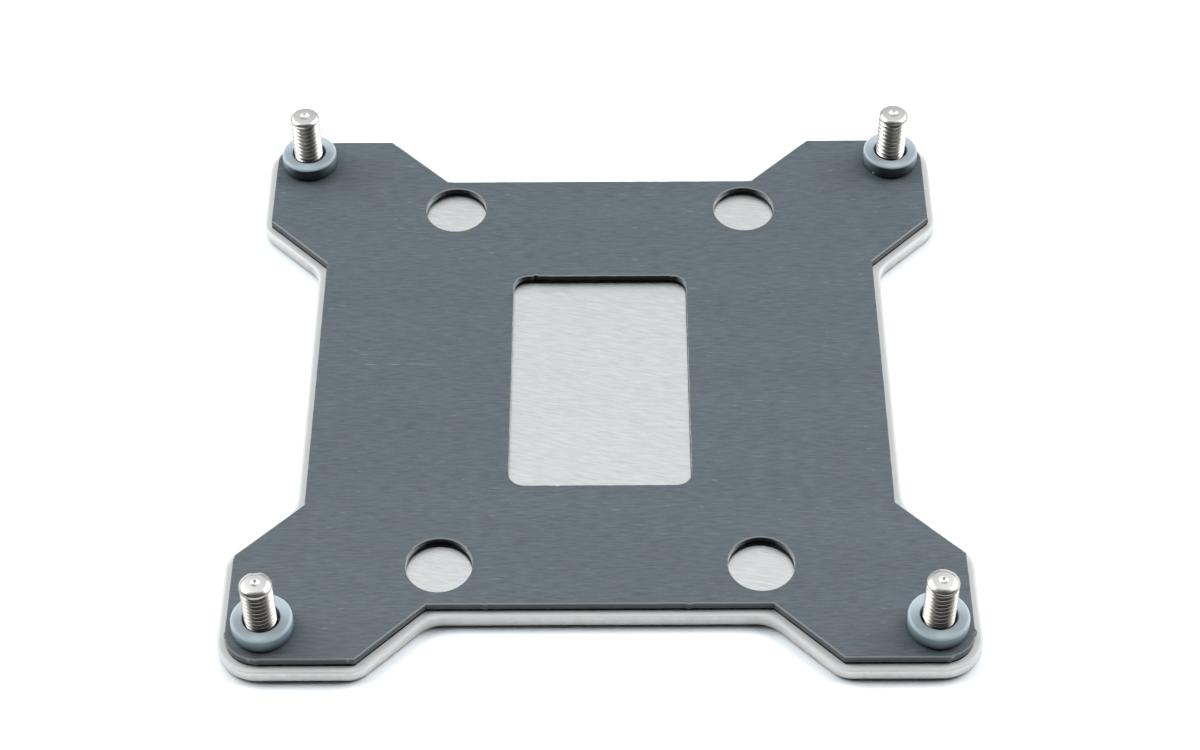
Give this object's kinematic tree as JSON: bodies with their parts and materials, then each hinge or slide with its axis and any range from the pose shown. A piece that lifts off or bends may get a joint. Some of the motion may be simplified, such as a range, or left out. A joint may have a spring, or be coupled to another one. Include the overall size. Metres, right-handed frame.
{
  "type": "cpu cooler backplate",
  "caption": "Square steel cooler backplate with four arms, a threaded stud and spacer washer at each corner, and an insulating sheet with windows.",
  "frame": {"origin": "centre of the steel plate's underside", "axes": "+Z along the studs, +X to the right and +Y away from the camera in the picture; the tall window runs along Y"},
  "size_m": [0.091, 0.091, 0.0122],
  "materials": {
    "steel": "fine brushed faces, tumbled edge",
    "tape": "matt black foam edge",
    "sheet": "grey, fine brushed grain along X, satin",
    "stud": "bright nickel plate, rolled thread",
    "washer": "light blue-grey, smooth satin"
  },
  "bodies": {
    "root": {"steel_plate": "steel", "adhesive_tape": "tape", "insulating_sheet": "sheet", "stud_front_left": "stud", "stud_front_right": "stud", "stud_back_left": "stud", "stud_back_right": "stud", "washer_front_left": "washer", "washer_front_right": "washer", "washer_back_left": "washer", "washer_back_right": "washer"}
  },
  "joints": []
}
